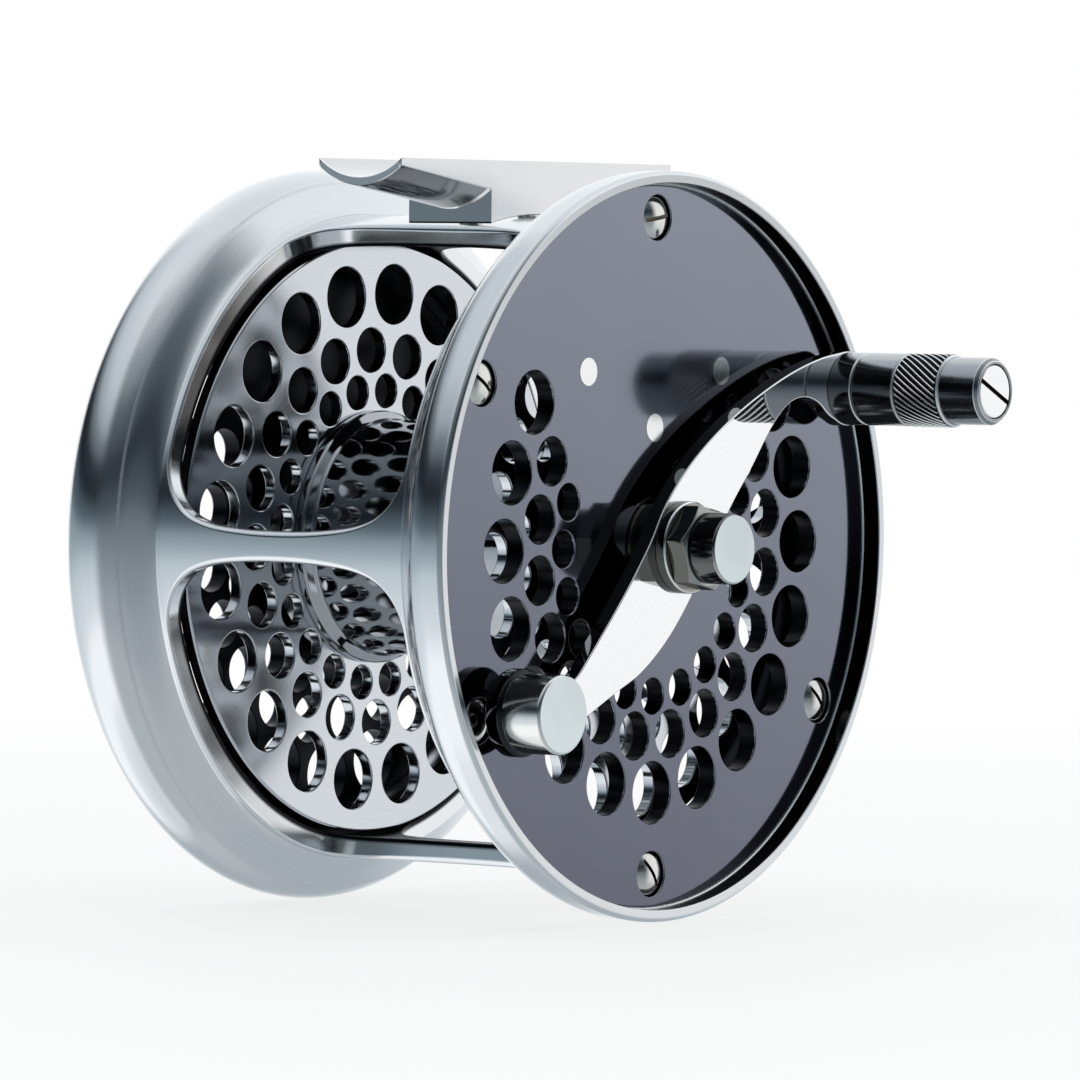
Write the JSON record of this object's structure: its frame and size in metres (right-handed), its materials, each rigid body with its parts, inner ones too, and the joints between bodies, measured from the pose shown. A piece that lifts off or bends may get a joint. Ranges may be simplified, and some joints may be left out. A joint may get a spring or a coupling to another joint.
{
  "type": "fly fishing reel",
  "caption": "Direct-drive fly fishing reel: pillared open cage with a concave reel foot, perforated plates and spool, S-shaped counterweighted arm, turning grip, click and rear drag knob.",
  "frame": {"origin": "The middle of the hollow on top of the reel foot, where the foot seats against the rod.", "axes": "+X runs along the spindle to the handle side, +Y runs along the rod and the reel foot, +Z points from the spindle up to the foot and the rod."},
  "size_m": [0.0917, 0.1, 0.1013],
  "materials": {
    "polished_aluminium": "hand polished",
    "satin_aluminium": "fine satin",
    "black_anodised": "gloss black anodised",
    "nickel_steel": "polished nickel plate",
    "polished_steel": "mirror polished",
    "dark_chrome": "dark chrome",
    "bronze": "turned bearing bronze",
    "spring_steel": "plain spring steel",
    "cork": "fine drag cork"
  },
  "bodies": {
    "cage": {"cage_frame": "polished_aluminium", "front_side_plate": "black_anodised", "rear_side_plate": "black_anodised", "front_plate_screws": "nickel_steel", "rear_plate_screws": "nickel_steel", "reel_foot": "satin_aluminium", "foot_screws": "nickel_steel", "click_pivot_post": "nickel_steel", "click_spring_post": "nickel_steel", "click_stop_posts": "nickel_steel", "front_bearing_bush": "bronze", "rear_bearing_bush": "bronze", "click_spring": "spring_steel", "drag_key_pins": "polished_steel"},
    "spool": {"spindle": "polished_steel", "spool_arbor": "polished_aluminium", "spool_front_flange": "polished_aluminium", "spool_rear_flange": "polished_aluminium", "spool_front_screws": "nickel_steel", "spool_rear_screws": "nickel_steel", "spool_key": "polished_steel", "click_wheel": "polished_steel", "click_wheel_screws": "nickel_steel", "hub_spacer": "polished_steel", "drag_friction_disc": "cork", "spindle_end_washer": "nickel_steel", "spindle_end_screw": "nickel_steel", "handle_arm": "polished_steel", "hub_collar": "nickel_steel", "handle_nut": "nickel_steel", "hub_cap": "nickel_steel", "counterweight": "nickel_steel", "counterweight_screw": "nickel_steel", "grip_post": "polished_steel", "grip_ferrule": "dark_chrome", "grip_end_screw": "nickel_steel"},
    "grip": {"grip_barrel": "dark_chrome", "grip_bush": "bronze"},
    "click": {"click_lever": "polished_steel"},
    "drag_thrust": {"drag_pressure_plate": "polished_steel", "drag_spring_washer": "spring_steel", "drag_follower_ring": "polished_steel", "drag_push_pins": "polished_steel", "drag_thrust_washer": "polished_steel"},
    "drag_knob": {"drag_knob": "satin_aluminium"}
  },
  "joints": [
    {"name": "spool_spin", "type": "hinge", "parent": "cage", "child": "spool", "pos_m": [0, 0, -0.0487], "axis": [1, 0, 0], "continuous": true},
    {"name": "grip_spin", "type": "hinge", "parent": "spool", "child": "grip", "pos_m": [0.045, 0.03774, -0.02782], "axis": [1, 0, 0], "continuous": true},
    {"name": "click_lever_rock", "type": "hinge", "parent": "cage", "child": "click", "pos_m": [0.0216, 0.0147, -0.0254], "axis": [1, 0, 0], "range_deg": [-3.5, 0], "deforming": ["click_spring"]},
    {"name": "drag_knob_turn", "type": "hinge", "parent": "drag_thrust", "child": "drag_knob", "pos_m": [-0.034, 0, -0.0487], "axis": [1, 0, 0], "range_deg": [0, 300]},
    {"name": "drag_thrust_slide", "type": "slide", "parent": "cage", "child": "drag_thrust", "axis": [1, 0, 0], "range_m": [0, 0.0005]}
  ],
  "couplings": [
    {"joint": "drag_thrust_slide", "follows": "drag_knob_turn", "m_per_rad": 0.000095493}
  ]
}
